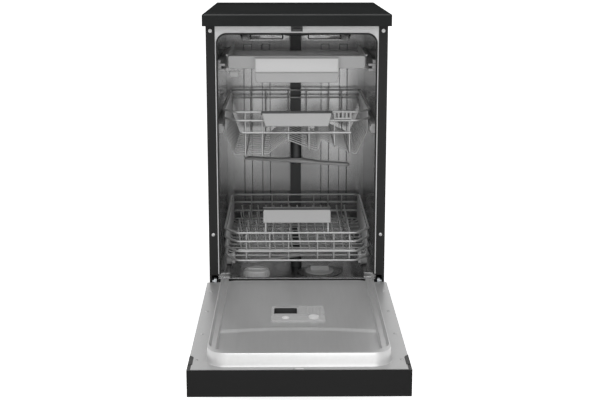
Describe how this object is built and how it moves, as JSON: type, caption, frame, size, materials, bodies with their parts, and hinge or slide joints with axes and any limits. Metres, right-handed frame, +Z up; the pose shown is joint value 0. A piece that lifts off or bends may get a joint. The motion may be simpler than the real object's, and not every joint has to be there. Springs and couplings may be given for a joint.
{
  "type": "dishwasher",
  "caption": "Slimline dishwasher with black worktop and cabinet, steel tub, drop-down door, sliding wire racks, a cutlery tray, spray arms, filter and detergent dispenser.",
  "frame": {"origin": "on the floor, at the middle of the footprint that the machine and its open door cover together", "axes": "+X to the right of a user who faces the door, +Y from the door to the back, +Z up"},
  "size_m": [0.448, 1.179, 0.845],
  "materials": {
    "worktop_black": "black textured laminate on chipboard",
    "cabinet_black": "satin black enamel",
    "fascia_black": "black, slightly glossy",
    "display": "dark tinted window",
    "tub_steel": "bright stainless",
    "gasket_rubber": "dark grey",
    "galvanised": "zinc plated",
    "rack_wire": "grey nylon coat on steel wire",
    "grey_plastic": "light grey",
    "pale_plastic": "pale grey",
    "dark_plastic": "black"
  },
  "bodies": {
    "cabinet": {"worktop": "worktop_black", "side_panel_left": "cabinet_black", "side_panel_right": "cabinet_black", "rear_panel": "galvanised", "base_tray": "dark_plastic", "levelling_feet": "dark_plastic", "plinth": "dark_plastic", "tub_wrap": "tub_steel", "tub_rear": "tub_steel", "tub_floor": "tub_steel", "tub_gasket": "gasket_rubber", "flange_screws": "galvanised", "door_strike": "galvanised", "sump": "dark_plastic", "filter_plate": "tub_steel", "salt_tank": "pale_plastic", "circulation_pump": "dark_plastic", "drain_pump": "dark_plastic", "inlet_valve": "dark_plastic", "mains_gland": "dark_plastic", "feed_pipe": "grey_plastic", "ceiling_spray": "grey_plastic", "hinge_brackets": "galvanised", "upper_rails": "grey_plastic", "tray_rails": "grey_plastic"},
    "door": {"door_panel": "cabinet_black", "door_liner": "tub_steel", "control_fascia": "fascia_black", "display_window": "display", "hinge_arms": "galvanised", "door_latch": "dark_plastic", "liner_screws": "galvanised", "dispenser_body": "pale_plastic"},
    "lower_rack": {"lower_rack_rails": "rack_wire", "lower_rack_basket": "rack_wire", "lower_rack_tines": "rack_wire", "lower_rack_handle": "grey_plastic", "wheel_hangers": "grey_plastic"},
    "upper_rack": {"upper_rack_rails": "rack_wire", "upper_rack_basket": "rack_wire", "upper_runners": "grey_plastic", "upper_rack_handle": "grey_plastic", "upper_arm_feed": "grey_plastic"},
    "cutlery_tray": {"tray_wires": "rack_wire", "tray_bar": "grey_plastic", "tray_handle": "grey_plastic"},
    "coarse_filter": {"coarse_filter": "pale_plastic"},
    "salt_cap": {"salt_cap": "pale_plastic"},
    "lower_spray_arm": {"lower_spray_arm": "grey_plastic"},
    "upper_spray_arm": {"upper_spray_arm": "grey_plastic"},
    "power_button": {"power_button": "fascia_black"},
    "program_button": {"program_button": "fascia_black"},
    "start_button": {"start_button": "fascia_black"},
    "dispenser_lid": {"dispenser_lid": "pale_plastic"},
    "rinse_cap": {"rinse_cap": "pale_plastic"},
    "folding_tines": {"folding_tines": "rack_wire"},
    "wheel_front_left": {"wheel_front_left": "grey_plastic"},
    "wheel_front_right": {"wheel_front_right": "grey_plastic"},
    "wheel_rear_left": {"wheel_rear_left": "grey_plastic"},
    "wheel_rear_right": {"wheel_rear_right": "grey_plastic"}
  },
  "joints": [
    {"name": "door_hinge", "type": "hinge", "parent": "cabinet", "child": "door", "pos_m": [0, 0.0415, 0.18], "axis": [-1, 0, 0], "range_deg": [0, 90]},
    {"name": "lower_rack_slide", "type": "slide", "parent": "cabinet", "child": "lower_rack", "axis": [0, 1, 0], "range_m": [-0.4, 0]},
    {"name": "upper_rack_slide", "type": "slide", "parent": "cabinet", "child": "upper_rack", "axis": [0, 1, 0], "range_m": [-0.34, 0]},
    {"name": "cutlery_tray_slide", "type": "slide", "parent": "cabinet", "child": "cutlery_tray", "axis": [0, 1, 0], "range_m": [-0.32, 0]},
    {"name": "lower_spray_arm_spin", "type": "hinge", "parent": "cabinet", "child": "lower_spray_arm", "pos_m": [0, 0.297, 0.182], "axis": [0, 0, 1], "continuous": true},
    {"name": "upper_spray_arm_spin", "type": "hinge", "parent": "upper_rack", "child": "upper_spray_arm", "pos_m": [0, 0.297, 0.442], "axis": [0, 0, 1], "continuous": true},
    {"name": "coarse_filter_twist", "type": "hinge", "parent": "cabinet", "child": "coarse_filter", "pos_m": [0.062, 0.235, 0.15], "axis": [0, 0, 1], "range_deg": [0, 90]},
    {"name": "salt_cap_twist", "type": "hinge", "parent": "cabinet", "child": "salt_cap", "pos_m": [-0.105, 0.192, 0.162], "axis": [0, 0, 1], "range_deg": [0, 360]},
    {"name": "folding_tines_hinge", "type": "hinge", "parent": "lower_rack", "child": "folding_tines", "pos_m": [0, 0.2355, 0.23355], "axis": [-1, 0, 0], "range_deg": [0, 85]},
    {"name": "dispenser_lid_slide", "type": "slide", "parent": "door", "child": "dispenser_lid", "axis": [-1, 0, 0], "range_m": [0, 0.058]},
    {"name": "rinse_cap_twist", "type": "hinge", "parent": "door", "child": "rinse_cap", "pos_m": [0.035, -0.2895, 0.192], "axis": [0, 0, 1], "range_deg": [0, 90]},
    {"name": "power_button_press", "type": "slide", "parent": "door", "child": "power_button", "axis": [0, 0, 1], "range_m": [0, 0.0015], "stiffness_N_per_m": 300, "springref_m": -0.001},
    {"name": "program_button_press", "type": "slide", "parent": "door", "child": "program_button", "axis": [0, 0, 1], "range_m": [0, 0.0015], "stiffness_N_per_m": 300, "springref_m": -0.001},
    {"name": "start_button_press", "type": "slide", "parent": "door", "child": "start_button", "axis": [0, 0, 1], "range_m": [0, 0.0015], "stiffness_N_per_m": 300, "springref_m": -0.001},
    {"name": "wheel_front_left_spin", "type": "hinge", "parent": "lower_rack", "child": "wheel_front_left", "pos_m": [-0.175, 0.141, 0.2123], "axis": [1, 0, 0], "continuous": true},
    {"name": "wheel_front_right_spin", "type": "hinge", "parent": "lower_rack", "child": "wheel_front_right", "pos_m": [0.175, 0.141, 0.2123], "axis": [1, 0, 0], "continuous": true},
    {"name": "wheel_rear_left_spin", "type": "hinge", "parent": "lower_rack", "child": "wheel_rear_left", "pos_m": [-0.175, 0.483, 0.2123], "axis": [1, 0, 0], "continuous": true},
    {"name": "wheel_rear_right_spin", "type": "hinge", "parent": "lower_rack", "child": "wheel_rear_right", "pos_m": [0.175, 0.483, 0.2123], "axis": [1, 0, 0], "continuous": true}
  ]
}
